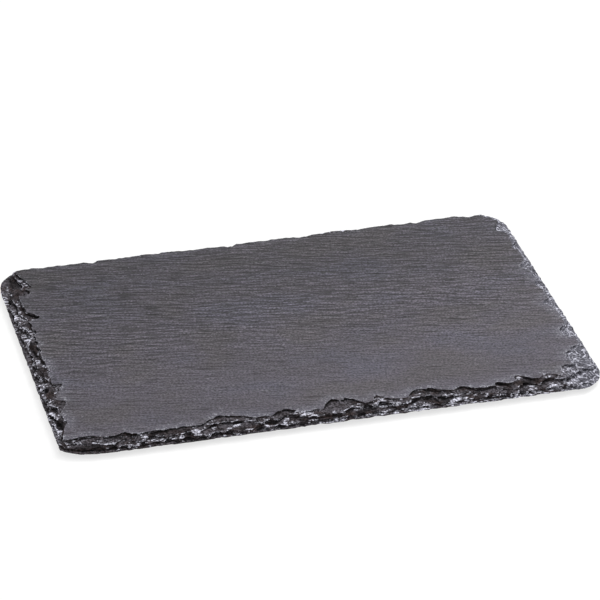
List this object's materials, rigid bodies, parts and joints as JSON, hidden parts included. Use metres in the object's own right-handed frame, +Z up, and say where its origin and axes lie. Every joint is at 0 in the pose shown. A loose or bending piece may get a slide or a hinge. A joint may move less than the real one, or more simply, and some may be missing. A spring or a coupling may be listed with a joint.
{
  "type": "slate serving board",
  "caption": "Flat rectangular riven stone board with rounded corners and rough flaked edges, on small soft feet, for serving food.",
  "frame": {"origin": "on the table, under the middle of the board's outline", "axes": "+X along the long side to the right, +Y away from the front edge, +Z up through the serving face"},
  "size_m": [0.3, 0.2, 0.0082],
  "materials": {
    "slate": "riven top face, matt, with a slight sheen",
    "adhesive_film": "translucent, whitish",
    "foot_pad": "matt, soft"
  },
  "bodies": {
    "root": {"slate_slab": "slate", "foot_film_front_left": "adhesive_film", "foot_film_front_right": "adhesive_film", "foot_film_back_right": "adhesive_film", "foot_film_back_left": "adhesive_film", "foot_pad_front_left": "foot_pad", "foot_pad_front_right": "foot_pad", "foot_pad_back_right": "foot_pad", "foot_pad_back_left": "foot_pad"}
  },
  "joints": []
}
